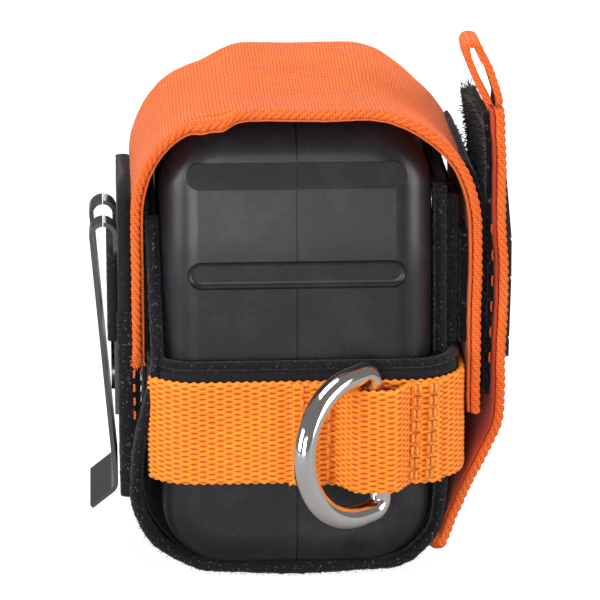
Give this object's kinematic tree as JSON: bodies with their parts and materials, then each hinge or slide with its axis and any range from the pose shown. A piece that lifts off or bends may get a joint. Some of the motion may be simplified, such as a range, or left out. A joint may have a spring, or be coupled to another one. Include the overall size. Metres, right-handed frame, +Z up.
{
  "type": "tool pouch",
  "caption": "Fabric sling pouch that holds a pocket tape measure, with a top strap under a peel-off cover flap, a tether ring on webbing and a spring belt clip.",
  "frame": {"origin": "middle of the sling's flat underside, midway between its sides", "axes": "+X to the right of someone who faces the tether ring, +Y away from them towards the tape measure's mouth, +Z up"},
  "size_m": [0.0791, 0.1077, 0.1038],
  "materials": {
    "case_plastic": "fine moulded texture",
    "orange_fabric": "plain weave",
    "orange_webbing": "ribbed webbing",
    "black_fabric": "padded nylon",
    "black_binding": "brushed binding tape",
    "hook_tape": "hook and loop",
    "moulded_rubber": "matt",
    "nickel": "polished nickel plate",
    "spring_steel": "polished spring steel",
    "zinc_steel": "bright zinc",
    "blade_paint": "satin lacquer",
    "inner_plastic": "plain",
    "lock_plastic": "fine moulded texture"
  },
  "bodies": {
    "pouch": {"sling_shell": "black_fabric", "sling_lining": "black_fabric", "sling_binding_near": "black_binding", "sling_binding_far": "black_binding", "front_band": "black_fabric", "band_piping": "black_binding", "front_webbing": "orange_webbing", "ring_loop": "orange_webbing", "strap_anchor": "orange_fabric", "side_loop_patch": "hook_tape", "flap_hem": "orange_fabric", "clip_carrier": "black_fabric", "clip_cover": "black_fabric", "clip_plate": "spring_steel", "clip_rivets": "zinc_steel"},
    "top_strap": {"strap": "orange_fabric", "strap_hook_patch": "hook_tape", "strap_loop_patch": "hook_tape"},
    "cover_flap": {"flap": "orange_fabric", "flap_hook_patch": "hook_tape", "pull_tab": "orange_fabric", "moulded_patch": "moulded_rubber"},
    "clip_spring": {"clip_arm": "spring_steel"},
    "tether_ring": {"d_ring": "nickel"},
    "tape_measure": {"case_left": "case_plastic", "case_right": "case_plastic", "case_screws": "zinc_steel", "spindle": "zinc_steel"},
    "reel": {"reel_drum": "inner_plastic", "blade_coil": "blade_paint", "return_spring": "spring_steel"},
    "tape_blade": {"blade": "blade_paint", "hook_rivets": "zinc_steel"},
    "hook_end": {"end_hook": "zinc_steel"},
    "blade_lock": {"lock_slider": "lock_plastic", "lock_retainer": "inner_plastic"}
  },
  "joints": [
    {"name": "flap_open", "type": "hinge", "parent": "pouch", "child": "cover_flap", "pos_m": [0.02851, 0, 0.00793], "axis": [0, 1, 0], "range_deg": [0, 140]},
    {"name": "strap_open", "type": "hinge", "parent": "pouch", "child": "top_strap", "pos_m": [-0.02456, 0, 0.08456], "axis": [0, -1, 0], "range_deg": [0, 56.5]},
    {"name": "clip_flex", "type": "hinge", "parent": "pouch", "child": "clip_spring", "pos_m": [-0.03535, -0.018, 0.0668], "axis": [0, 1, 0], "range_deg": [0, 8], "stiffness_Nm_per_rad": 1},
    {"name": "ring_swing", "type": "hinge", "parent": "pouch", "child": "tether_ring", "pos_m": [0.014, -0.04885, 0.0307], "axis": [-0.075, 0, 0.9972], "range_deg": [-28, 105]},
    {"name": "tool_slide", "type": "slide", "parent": "pouch", "child": "tape_measure", "axis": [0, 1, 0], "range_m": [0, 0.088]},
    {"name": "blade_pull", "type": "slide", "parent": "tape_measure", "child": "tape_blade", "axis": [0, 1, 0], "range_m": [0, 0.03], "stiffness_N_per_m": 30, "springref_m": -0.1},
    {"name": "reel_spin", "type": "hinge", "parent": "tape_measure", "child": "reel", "pos_m": [0, -0.0022, 0.04505], "axis": [1, 0, 0], "range_deg": [0, 52]},
    {"name": "hook_play", "type": "slide", "parent": "tape_blade", "child": "hook_end", "axis": [0, 1, 0], "range_m": [0, 0.001]},
    {"name": "lock_slide", "type": "slide", "parent": "tape_measure", "child": "blade_lock", "axis": [0, 0, -1], "range_m": [0, 0.008]}
  ],
  "couplings": [
    {"joint": "strap_open", "follows": "flap_open", "ratio": 0.4},
    {"joint": "reel_spin", "follows": "blade_pull", "rad_per_m": 29.586}
  ]
}
